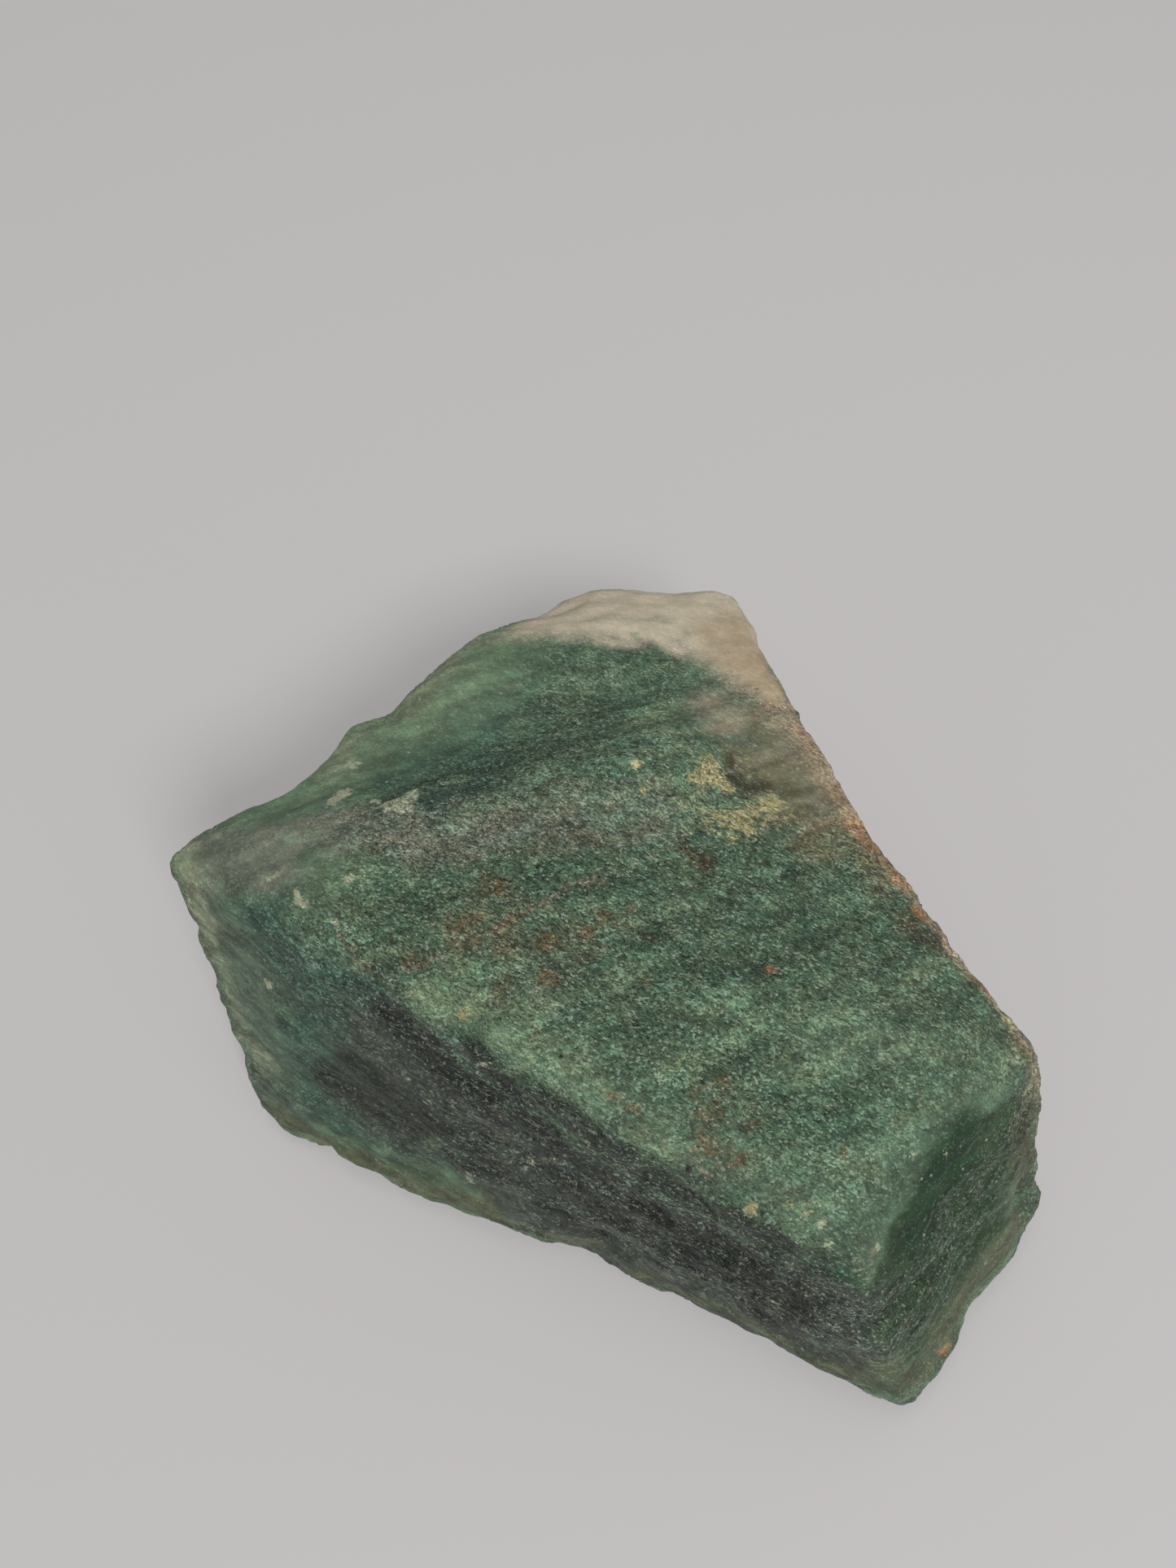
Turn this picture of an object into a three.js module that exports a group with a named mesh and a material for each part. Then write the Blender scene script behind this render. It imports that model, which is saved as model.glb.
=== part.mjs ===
// Raw aventurine: one broken chunk of green aventurine quartzite, lying on its flattest break.
// Millimetres, +Z up, origin under the middle of the stone on the surface that it rests on.
import * as THREE from 'three';
import { ImprovedNoise } from 'three/addons/math/ImprovedNoise.js';
import { mergeVertices } from 'three/addons/utils/BufferGeometryUtils.js';

// Grid of the block that is shaped into the stone.
const cellsLong = 42;
const cellsDeep = 24;
const cellsHigh = 14;

// The stone has four broken sides. Each rim curve runs along one of them, as x, y, z.
const topRim = {
  front: [
    [-46.6, 5, 30.5], [-38.4, 1.2, 33.6], [-30.2, -3.4, 35.8], [-20.6, -9, 36.6],
    [-11.4, -15, 35.6], [-1.4, -21.4, 33.8], [12.8, -29.8, 30.2], [26.6, -37.4, 26],
  ],
  right: [[26.6, -37.4, 26], [34.4, -26, 28.8], [42.4, -20, 28.4], [48.4, -14.8, 26]],
  back: [
    [-1.8, 46.4, 24.6], [6.6, 46.4, 26], [9.6, 45, 26.2], [20.4, 45.6, 25.2],
    [22.8, 34.2, 29.2], [27.2, 21.4, 30.6], [32.8, 7, 30.6], [39.8, -4.2, 30],
    [48.4, -14.8, 26],
  ],
  left: [
    [-46.6, 5, 30.5], [-39, 11.2, 31.4], [-30.6, 17.8, 30.6], [-23.2, 25.4, 29.6],
    [-16, 34.2, 28.4], [-10.4, 38.8, 27.2], [-5, 41.2, 26.2], [-1.8, 46.4, 24.6],
  ],
};
const baseRim = {
  front: [
    [-40.4, -15.4, 0.6], [-31, -20.4, 0.8], [-21.6, -25.2, 1.6], [-8.2, -30.2, 1.4],
    [1.4, -32.4, 1.8], [5.2, -35, 0.8], [19.4, -41.6, 1.2], [35.2, -49.2, 0.6],
  ],
  right: [[35.2, -49.2, 0.6], [41, -44, 1.6], [43.2, -39, 2.6], [53.6, -28.8, 1.4]],
  back: [
    [-3, 33, 3], [7, 36, 3.4], [17, 32, 2.4], [26, 17, 1.6], [37, -1, 1], [46, -14, 1.2],
    [53.6, -28.8, 1.4],
  ],
  left: [[-40.4, -15.4, 0.6], [-37, -5, 1.4], [-26, 8, 2.6], [-14, 23, 3.2], [-3, 33, 3]],
};

// Broad forms of the top face. Each follows a line over the stone, with its rise and half width.
const topForms = [
  { rise: 2.8, spread: 4.2, line: [[-42, 5.4], [-31, 7.4], [-21, 8.6], [-13, 9.6], [-4, 12.6], [9, 16]] },
  { rise: -2.6, spread: 5, line: [[-27, 13.6], [-19, 15.8], [-10, 19.6], [-1, 23.4], [12, 27]] },
  { rise: 1.4, spread: 5, line: [[-21, 25], [-9, 34], [4, 38]] },
  { rise: -1.4, spread: 7, line: [[26, 4], [33, -4]] },
  { rise: -1.1, spread: 4, line: [[15, 12], [21, 16]] },
  { rise: 0.8, spread: 4, line: [[12, -12], [26, -13], [38, -17]] },
  { rise: -0.7, spread: 3.5, line: [[12, -20], [25, -21]] },
  { rise: 1.2, spread: 6, line: [[-22, -4], [-8, -12], [4, -20]] },
];

// Swell of each side at half its height, as x, y.
const sideSwell = { front: [-0.3, -0.8], right: [0.3, -0.3], back: [0.3, 0.1], left: [0.6, -0.5] };

// The base is broken too: its middle reaches below the resting plane and is cut off flat there.
const baseDip = 3.4;

// The broad forms reach their full height within this many grid shares of the rim.
const formFade = 6;

// Wear of the broken edges.
const wearPasses = 2;
const wearShare = 0.55;

// The beds of the rock, which the top face follows. They lie tilted, and split into ledges.
const bedUp = new THREE.Vector3(0.116, -0.151, 1).normalize();
const ledgeSpacing = 6.2;
const ledgeDepth = 0.7;
const ledgeDrift = 1.3;
const driftSize = 21;

// Lumps of the break, from coarse to fine. They are flatter across the beds, and calmer on them.
const lumps = [
  { size: 17, depth: 1 },
  { size: 8, depth: 0.6 },
  { size: 4.2, depth: 0.36 },
];
const lumpFlatness = 2.2;
const lumpShift = 7;
const bedCalm = 0.45;

const perlin = new ImprovedNoise();

// Points evenly spaced along a rim curve, one for each line of the grid.
function rimPoints(points, cells) {
  const knots = points.map((point) => new THREE.Vector3(...point));
  const curve = new THREE.CatmullRomCurve3(knots, false, 'catmullrom', 0.35);
  return curve.getSpacedPoints(cells);
}

// The four rim curves of one level, sampled on the grid.
function rimGrid(rim) {
  return {
    front: rimPoints(rim.front, cellsLong),
    back: rimPoints(rim.back, cellsLong),
    left: rimPoints(rim.left, cellsDeep),
    right: rimPoints(rim.right, cellsDeep),
  };
}

// A point of the patch that the four rims span (a Coons patch), at grid line i, j.
function patchPoint(grid, i, j) {
  const along = i / cellsLong;
  const deep = j / cellsDeep;
  const point = new THREE.Vector3();
  point.addScaledVector(grid.front[i], 1 - deep);
  point.addScaledVector(grid.back[i], deep);
  point.addScaledVector(grid.left[j], 1 - along);
  point.addScaledVector(grid.right[j], along);
  point.addScaledVector(grid.front[0], -(1 - along) * (1 - deep));
  point.addScaledVector(grid.front[cellsLong], -along * (1 - deep));
  point.addScaledVector(grid.back[0], -(1 - along) * deep);
  point.addScaledVector(grid.back[cellsLong], -along * deep);
  return point;
}

// Distance in plan from a point to a line of several stretches.
function distanceToLine(point, line) {
  const spot = new THREE.Vector3(point.x, point.y, 0);
  const nearest = new THREE.Vector3();
  let distance = Infinity;
  for (let k = 0; k + 1 < line.length; k += 1) {
    const stretch = new THREE.Line3(
      new THREE.Vector3(...line[k], 0),
      new THREE.Vector3(...line[k + 1], 0),
    );
    stretch.closestPointToPoint(spot, true, nearest);
    distance = Math.min(distance, nearest.distanceTo(spot));
  }
  return distance;
}

// Height that the broad forms add to the top face.
function topForm(point) {
  let rise = 0;
  for (const form of topForms) {
    const far = distanceToLine(point, form.line) / form.spread;
    rise += form.rise * Math.exp(-far * far);
  }
  return rise;
}

// How far a grid line lies from the edge of the block: 0 on the edge, 1 in the middle.
function inset(share) {
  return 1 - Math.abs(2 * share - 1);
}

// Swell of the sides that a grid point lies on, at a share of the height.
function swellAt(i, j, share) {
  const swell = new THREE.Vector3();
  if (j === 0) swell.add(new THREE.Vector3(...sideSwell.front, 0));
  if (i === cellsLong) swell.add(new THREE.Vector3(...sideSwell.right, 0));
  if (j === cellsDeep) swell.add(new THREE.Vector3(...sideSwell.back, 0));
  if (i === 0) swell.add(new THREE.Vector3(...sideSwell.left, 0));
  return swell.multiplyScalar(4 * share * (1 - share));
}

// Moves every corner of the block's grid to its place on the unworn stone.
function shapeBlock(geometry) {
  const top = rimGrid(topRim);
  const base = rimGrid(baseRim);
  const position = geometry.attributes.position;
  for (let n = 0; n < position.count; n += 1) {
    const i = Math.round((position.getX(n) + 0.5) * cellsLong);
    const j = Math.round((position.getY(n) + 0.5) * cellsDeep);
    const share = position.getZ(n) + 0.5;
    const low = patchPoint(base, i, j);
    const high = patchPoint(top, i, j);
    const middle = inset(i / cellsLong) * inset(j / cellsDeep);
    low.z -= baseDip * Math.sqrt(middle);
    high.z += topForm(high) * Math.min(1, formFade * middle);
    const point = low.lerp(high, share).add(swellAt(i, j, share));
    position.setXYZ(n, point.x, point.y, point.z);
  }
}

// The corners that share an edge with each corner.
function neighboursOf(geometry) {
  const index = geometry.index.array;
  const neighbours = Array.from({ length: geometry.attributes.position.count }, () => new Set());
  for (let k = 0; k < index.length; k += 3) {
    const corners = [index[k], index[k + 1], index[k + 2]];
    for (const one of corners) {
      for (const other of corners) {
        if (one !== other) neighbours[one].add(other);
      }
    }
  }
  return neighbours;
}

// Rounds the broken edges by drawing each corner towards the middle of its neighbours.
function wearEdges(geometry) {
  const position = geometry.attributes.position;
  const neighbours = neighboursOf(geometry);
  for (let pass = 0; pass < wearPasses; pass += 1) {
    const worn = neighbours.map((near, n) => {
      const middle = new THREE.Vector3();
      near.forEach((m) => middle.add(new THREE.Vector3().fromBufferAttribute(position, m)));
      middle.divideScalar(near.size);
      return new THREE.Vector3().fromBufferAttribute(position, n).lerp(middle, wearShare);
    });
    worn.forEach((point, n) => position.setXYZ(n, point.x, point.y, point.z));
  }
}

// Depth of the break at a point: lumps everywhere, and ledges where the surface cuts the beds.
function breakDepth(point, normal) {
  const bed = point.dot(bedUp);
  const acrossBeds = 1 - Math.abs(normal.dot(bedUp));
  let depth = 0;
  lumps.forEach((lump, layer) => {
    const level = bed * lumpFlatness / lump.size + lumpShift * layer;
    depth += lump.depth * perlin.noise(point.x / lump.size, point.y / lump.size, level);
  });
  depth *= THREE.MathUtils.lerp(bedCalm, 1, acrossBeds);
  const drift = perlin.noise(point.x / driftSize, point.y / driftSize, bed / driftSize);
  const step = bed / ledgeSpacing + ledgeDrift * drift;
  return depth + acrossBeds * ledgeDepth * (step - Math.floor(step) - 0.5);
}

// Pushes the surface in and out by the depth of the break.
function roughen(geometry) {
  geometry.computeVertexNormals();
  const { position, normal } = geometry.attributes;
  for (let n = 0; n < position.count; n += 1) {
    const point = new THREE.Vector3().fromBufferAttribute(position, n);
    const outward = new THREE.Vector3().fromBufferAttribute(normal, n);
    point.addScaledVector(outward, breakDepth(point, outward));
    position.setXYZ(n, point.x, point.y, point.z);
  }
  geometry.deleteAttribute('normal');
}

// Cuts the lowest part of the base off flat and brings the origin to the middle of it.
function settle(geometry) {
  const position = geometry.attributes.position;
  for (let n = 0; n < position.count; n += 1) position.setZ(n, Math.max(0, position.getZ(n)));
  geometry.computeBoundingBox();
  const middle = geometry.boundingBox.getCenter(new THREE.Vector3());
  geometry.translate(-middle.x, -middle.y, 0);
}

// The whole stone, one closed surface.
function stoneGeometry() {
  const block = new THREE.BoxGeometry(1, 1, 1, cellsLong, cellsDeep, cellsHigh);
  block.deleteAttribute('normal');
  block.deleteAttribute('uv');
  const geometry = mergeVertices(block);
  shapeBlock(geometry);
  wearEdges(geometry);
  roughen(geometry);
  settle(geometry);
  return geometry;
}

const aventurine = new THREE.MeshStandardMaterial({ color: 0x47705b, roughness: 0.6, metalness: 0 });

const stone = new THREE.Mesh(stoneGeometry(), aventurine);
stone.name = 'stone';

const rawAventurine = new THREE.Group();
rawAventurine.add(stone);

export default rawAventurine;
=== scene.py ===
import math

import bpy
import numpy as np
from mathutils import Matrix, Vector


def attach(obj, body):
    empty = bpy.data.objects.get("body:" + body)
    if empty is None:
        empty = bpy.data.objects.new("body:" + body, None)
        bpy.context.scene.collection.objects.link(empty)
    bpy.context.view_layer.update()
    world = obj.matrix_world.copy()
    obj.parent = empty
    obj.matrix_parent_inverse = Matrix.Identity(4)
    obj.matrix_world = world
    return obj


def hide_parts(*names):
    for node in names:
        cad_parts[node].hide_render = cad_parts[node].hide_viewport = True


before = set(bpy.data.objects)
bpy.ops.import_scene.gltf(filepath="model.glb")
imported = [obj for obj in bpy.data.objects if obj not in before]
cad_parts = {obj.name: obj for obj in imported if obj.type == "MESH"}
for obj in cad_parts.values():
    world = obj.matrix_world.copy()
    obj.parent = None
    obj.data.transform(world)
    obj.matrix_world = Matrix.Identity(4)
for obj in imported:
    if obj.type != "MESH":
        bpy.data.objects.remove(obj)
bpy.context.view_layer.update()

mm = 0.001

# how the rock is built: the beds' upward direction, and the direction in which its grain is drawn out
bedUp = Vector((0.116, -0.151, 1)).normalized()


def turnAlong(degrees):
    along = Vector((math.cos(math.radians(degrees)), math.sin(math.radians(degrees)), 0))
    along = (along - along.dot(bedUp) * bedUp).normalized()
    return Matrix((along, bedUp.cross(along), bedUp)).transposed()


waveTurn = turnAlong(22)     # the low waves of the bed surface
grainTurn = turnAlong(-28)   # the mica's streaks
silkTurn = turnAlong(56)     # the silky streaks of the end face

camera = {
    "place": (-2.8, -46.8, 147.6),    # mm
    "fromNadir": 28.01,               # degrees
    "roll": -0.77,
    "lens": 27.03,                    # mm
    "nearest": 5.0,                   # where its view starts, mm
}


def addCamera():
    bpy.ops.object.camera_add(location=Vector(camera["place"]) * mm)
    eye = bpy.context.object
    eye.rotation_mode = "ZYX"                                   # the roll is turned first, then the tilt
    eye.rotation_euler = (math.radians(camera["fromNadir"]), 0, math.radians(camera["roll"]))
    eye.data.lens = camera["lens"]
    eye.data.clip_start = camera["nearest"] * mm
    bpy.context.scene.camera = eye
    print("camera: in place")


# Two numbers place a spot by its pixel in the camera's picture, which is this wide and high.
# Three numbers place it in mm, on the faces that the camera can't see.
picture = (1445, 1927)
stoneMiddle = (760, 1200)
missSteps = 20      # a spot that misses the stone is drawn towards its middle, in these steps,
missStep = 0.005    # each this share of the way


def placeAt(piece, spot):
    if len(spot) == 3:
        return Vector(spot) * mm
    eye = bpy.context.scene.camera
    turn = eye.rotation_euler.to_matrix()
    depth = eye.data.lens / eye.data.sensor_width * picture[1]
    for step in range(missSteps):
        drawn = missStep * step
        across, down = (start + (middle - start) * drawn for start, middle in zip(spot, stoneMiddle))
        sight = turn @ Vector((across - picture[0] / 2, picture[1] / 2 - down, -depth))
        landed, place, normal, face = piece.ray_cast(eye.location, sight.normalized())
        if landed:
            return place
    print("stone: no place at pixel", spot)


studio = {
    "floorSide": 3.0,
    "floorColour": (0.36, 0.350, 0.345),
    "floorRoughness": 0.75,
    "floorGlow": 0.18,
    "glowColour": (1.0, 0.97, 0.96),
    "airColour": (0.98, 0.97, 1.0),
    "air": 0.40,
    "lamps": [
        # name, place in m, wide, deep, watts, colour
        ("window", (0.28, -0.60, 0.77), 0.35, 0.30, 6.0, (1.0, 0.99, 1.0)),
        ("ceiling", (-0.10, 0.35, 0.95), 0.5, 0.5, 1.4, (1.0, 0.98, 0.96)),
    ],
}


def addLamp(name, place, wide, deep, watts, colour):
    bpy.ops.object.light_add(type="AREA", location=place)
    lamp = bpy.context.object
    lamp.name = name
    lamp.rotation_euler = (-Vector(place)).to_track_quat("-Z", "Y").to_euler()    # it faces the stone
    lamp.data.shape = "RECTANGLE"
    lamp.data.size = wide
    lamp.data.size_y = deep
    lamp.data.energy = watts
    lamp.data.color = colour


def addFloor():
    bpy.ops.mesh.primitive_plane_add(size=studio["floorSide"], location=(0, 0, 0))
    floor = bpy.context.object
    floor.name = "floor"
    paper = bpy.data.materials.new("paleFloor")
    paper.use_nodes = True
    shader = paper.node_tree.nodes["Principled BSDF"].inputs
    shader["Base Color"].default_value = (*studio["floorColour"], 1)
    shader["Roughness"].default_value = studio["floorRoughness"]
    shader["Emission Color"].default_value = (*studio["glowColour"], 1)
    shader["Emission Strength"].default_value = studio["floorGlow"]
    floor.data.materials.append(paper)


def addStudio():
    scene = bpy.context.scene
    scene.view_settings.view_transform = "Standard"
    world = bpy.data.worlds.new("softAir")
    world.use_nodes = True
    air = world.node_tree.nodes["Background"].inputs
    air["Color"].default_value = (*studio["airColour"], 1)
    air["Strength"].default_value = studio["air"]
    scene.world = world
    for lamp in studio["lamps"]:
        addLamp(*lamp)
    addFloor()
    print("studio: floor, air and", len(studio["lamps"]), "lamps")


stoneShape = {
    "weld": 0.001,       # CAD corners nearer than this are one, mm
    "voxel": 0.50,       # edge of one face, mm
    "soften": 4,         # smoothing steps that take away the flat CAD faces
    "easedFade": (1.6, 0.6),    # widths from its line at which an easing starts, and is full
    "rimFade": 0.12,            # how much flatter than the flattest rim an eased spot has to be
    "eased": [
        # form, pixels along it, width in mm, smoothing steps, and how flat a spot has to be
        ("trough", [(450, 960), (592, 930), (695, 888), (800, 858)], 8.0, 700, 0.55),
        ("endEdge", [(1062, 1545), (1100, 1480), (1150, 1410), (1200, 1360), (1245, 1330)], 2.6, 40, -1),
        ("frontEdge", [(480, 1215), (560, 1270), (650, 1345), (760, 1420), (900, 1495)], 1.6, 12, -1),
    ],
    "nudges": [
        # pixel on the outline, radius in mm, and how far it moves in plan, in mm
        ((222, 1050), 4.0, (-0.9, 0.4)),
        ((262, 1020), 4.5, (-0.2, 0.3)),
        ((226, 1100), 4.0, (0.7, 0.0)),
        ((252, 1175), 6.0, (1.1, 0.2)),
        ((276, 1240), 4.0, (0.6, 0.2)),
        ((306, 1313), 4.0, (0.5, 0.0)),
        ((356, 1386), 4.0, (-0.8, -0.7)),
        ((515, 1467), 3.0, (-0.2, -0.5)),
        ((650, 1514), 4.0, (-0.1, -0.7)),
        ((742, 1538), 2.5, (0.2, 2.1)),
        ((792, 1570), 4.0, (0.1, 0.8)),
        ((868, 1608), 5.0, (0.1, 0.5)),
        ((994, 1674), 3.5, (0.0, -0.6)),
        ((1050, 1700), 3.5, (0.0, -0.3)),
        ((1135, 1704), 3.0, (0.0, -0.6)),
        ((1240, 1540), 5.0, (0.7, -0.3)),
        ((1266, 1468), 2.6, (-2.5, 0.3)),
        ((1272, 1415), 4.0, (-0.7, 0.0)),
        ((1270, 1366), 2.5, (-1.2, 0.0)),
        ((1228, 1236), 6.0, (-0.4, -0.3)),
        ((1157, 1146), 3.5, (-0.5, -0.2)),
        ((1114, 1086), 2.5, (0.5, 0.2)),
        ((1062, 1022), 4.0, (-0.5, -0.2)),
        ((906, 750), 3.0, (-0.7, -0.6)),
        ((876, 730), 2.5, (0.1, 0.6)),
        ((688, 744), 3.5, (0.3, -0.7)),
        ((596, 777), 3.0, (-0.3, 0.6)),
        ((478, 876), 3.0, (0.4, -0.8)),
        ((432, 897), 3.0, (-0.6, 0.9)),
        ((356, 978), 4.0, (0.4, -0.8)),
    ],
    # a face's flatness is 1 along the beds and 0 across them
    "side": (0.92, 0.57),       # flatness at which a face starts to be a side, and is one
    "back": (0.15, 0.50),       # how far a side looks backwards where the back's cuts start, and are full
    "belowRim": (0.35, 0.05),   # flatness at which they start, and are full
    "calmHeld": 0.7,            # how much of the relief the calm places lose
    "quartzHeld": 0.85,         # how much of the back's cuts the quartz loses
    "cutIn": 0.8,               # how much of the back's relief goes inwards
    "cloudDetail": 2,
    "waverSize": 2.2,           # size of the waver in the ledges
    "layers": [
        # name, texture, size, depth, stretch along, across and up, turn, where
        ("waves", "CLOUDS", 4.5, 1.00, (2.4, 1.0, 0.9), waveTurn, "all"),
        ("chips", "VORONOI", 4.2, 0.6, (1.6, 1.2, 0.7), grainTurn, "sides"),
        ("scars", "VORONOI", 9.0, 2.2, (1.5, 1.2, 0.9), waveTurn, "backs"),
        ("hollows", "CLOUDS", 5.0, 1.3, (1.8, 1.2, 0.8), waveTurn, "backs"),
        ("grooves", "CLOUDS", 1.6, 0.55, (1.9, 1.0, 0.8), grainTurn, "rough"),
        ("grit", "CLOUDS", 0.8, 0.32, (1.6, 1.0, 0.8), grainTurn, "rough"),
    ],
    "ledges": [
        # name, height of one ledge, depth, waver, where
        ("ledges", 3.6, 0.22, 9.0, "sides"),
        ("splits", 1.4, 0.14, 12.0, "sides"),
        ("shelves", 7.5, 0.6, 16.0, "backs"),
    ],
}


def selectOnly(thing):
    bpy.ops.object.select_all(action="DESELECT")
    thing.select_set(True)
    bpy.context.view_layer.objects.active = thing


def copyNode(nodeName, pieceName):
    piece = bpy.data.objects.new(pieceName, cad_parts[nodeName].data.copy())
    bpy.context.scene.collection.objects.link(piece)
    piece.data.materials.clear()
    selectOnly(piece)
    bpy.ops.object.mode_set(mode="EDIT")
    bpy.ops.mesh.select_all(action="SELECT")
    bpy.ops.mesh.remove_doubles(threshold=stoneShape["weld"] * mm)
    bpy.ops.object.mode_set(mode="OBJECT")
    return piece


def applyModifier(piece, modifier):
    selectOnly(piece)
    bpy.ops.object.modifier_apply(modifier=modifier.name)


def smoothPiece(piece, steps, groupName=""):
    smooth = piece.modifiers.new("smooth", "SMOOTH")
    smooth.iterations = steps
    smooth.vertex_group = groupName
    applyModifier(piece, smooth)


def readVertices(piece, kind):
    numbers = np.empty(3 * len(piece.data.vertices))
    piece.data.vertices.foreach_get(kind, numbers)
    return numbers.reshape(-1, 3)


def ramp(values, start, full):
    return np.clip((values - start) / (full - start), 0, 1)


def addGroup(piece, name, weights):
    group = piece.vertex_groups.new(name=name)
    for index in np.nonzero(weights)[0]:
        group.add([int(index)], float(weights[index]), "REPLACE")


def addValues(piece, name, values):
    layer = piece.data.attributes.new(name, "FLOAT", "POINT")
    layer.data.foreach_set("value", values.astype(np.float32))


def easeForms(piece):
    for name, pixels, width, steps, flattest in stoneShape["eased"]:
        line = [placeAt(piece, pixel) for pixel in pixels]
        far = strokeDistance(readVertices(piece, "co"), line)
        flat = readVertices(piece, "normal") @ np.array(bedUp)
        weights = ramp(far / width, *stoneShape["easedFade"])
        weights = weights * ramp(flat, flattest, flattest + stoneShape["rimFade"])    # the rims stay
        addGroup(piece, name, weights)
        smoothPiece(piece, steps, name)


def nudgeOutline(piece):
    places = readVertices(piece, "co")
    moves = np.zeros_like(places)
    for pixel, radius, push in stoneShape["nudges"]:
        far = np.linalg.norm(places - np.array(placeAt(piece, pixel)), axis=1) / (radius * mm)
        moves += np.exp(-far ** 2)[:, None] * np.array((*push, 0.0)) * mm
    piece.data.vertices.foreach_set("co", (places + moves).ravel())
    piece.data.update()


def weighSides(piece):
    normals = readVertices(piece, "normal")
    flat = normals @ np.array(bedUp)
    addValues(piece, "side", ramp(flat, *stoneShape["side"]))
    sides = ramp(np.abs(flat), *stoneShape["side"])
    rough = 1 - stoneShape["calmHeld"] * np.clip(coverOf(piece, strokes["calm"]), 0, 1)
    backs = sides * ramp(normals[:, 1], *stoneShape["back"])
    backs = backs * ramp(flat, *stoneShape["belowRim"])
    backs = backs * (1 - stoneShape["quartzHeld"] * np.clip(coverOf(piece, strokes["quartz"]), 0, 1))
    addGroup(piece, "sides", sides * rough)
    addGroup(piece, "backs", backs)
    addGroup(piece, "rough", rough)


def guide(name, turn, scale):
    bpy.ops.object.empty_add(location=(0, 0, 0))
    empty = bpy.context.object
    empty.name = name
    empty.rotation_euler = turn
    empty.scale = scale
    return empty


def displace(piece, texture, empty, depth, where):
    modifier = piece.modifiers.new(texture.name, "DISPLACE")
    modifier.texture = texture
    modifier.texture_coords = "OBJECT"
    modifier.texture_coords_object = empty
    modifier.strength = depth * mm
    modifier.mid_level = stoneShape["cutIn"] if where == "backs" else 0.5
    if where != "all":
        modifier.vertex_group = where
    bpy.context.view_layer.update()
    applyModifier(piece, modifier)
    bpy.data.objects.remove(empty)


def breakSurface(piece):
    for name, kind, size, depth, stretch, turn, where in stoneShape["layers"]:
        texture = bpy.data.textures.new(name, kind)
        texture.noise_scale = 1.0
        if kind == "CLOUDS":
            texture.noise_depth = stoneShape["cloudDetail"]
        empty = guide(name, turn.to_euler(), Vector(stretch) * size * mm)
        displace(piece, texture, empty, depth, where)
    bandTurn = Vector((1, 1, 1)).rotation_difference(bedUp)     # wood bands run along x + y + z
    for name, height, depth, waver, where in stoneShape["ledges"]:
        texture = bpy.data.textures.new(name, "WOOD")
        texture.wood_type = "BANDNOISE"
        texture.noise_basis_2 = "SAW"
        texture.noise_scale = stoneShape["waverSize"]
        texture.turbulence = waver
        scale = math.sqrt(3) * 10 * height * mm / math.tau      # a band is a full turn of 10 (x + y + z)
        empty = guide(name, bandTurn.to_euler(), (scale, scale, scale))
        displace(piece, texture, empty, depth, where)


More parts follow.
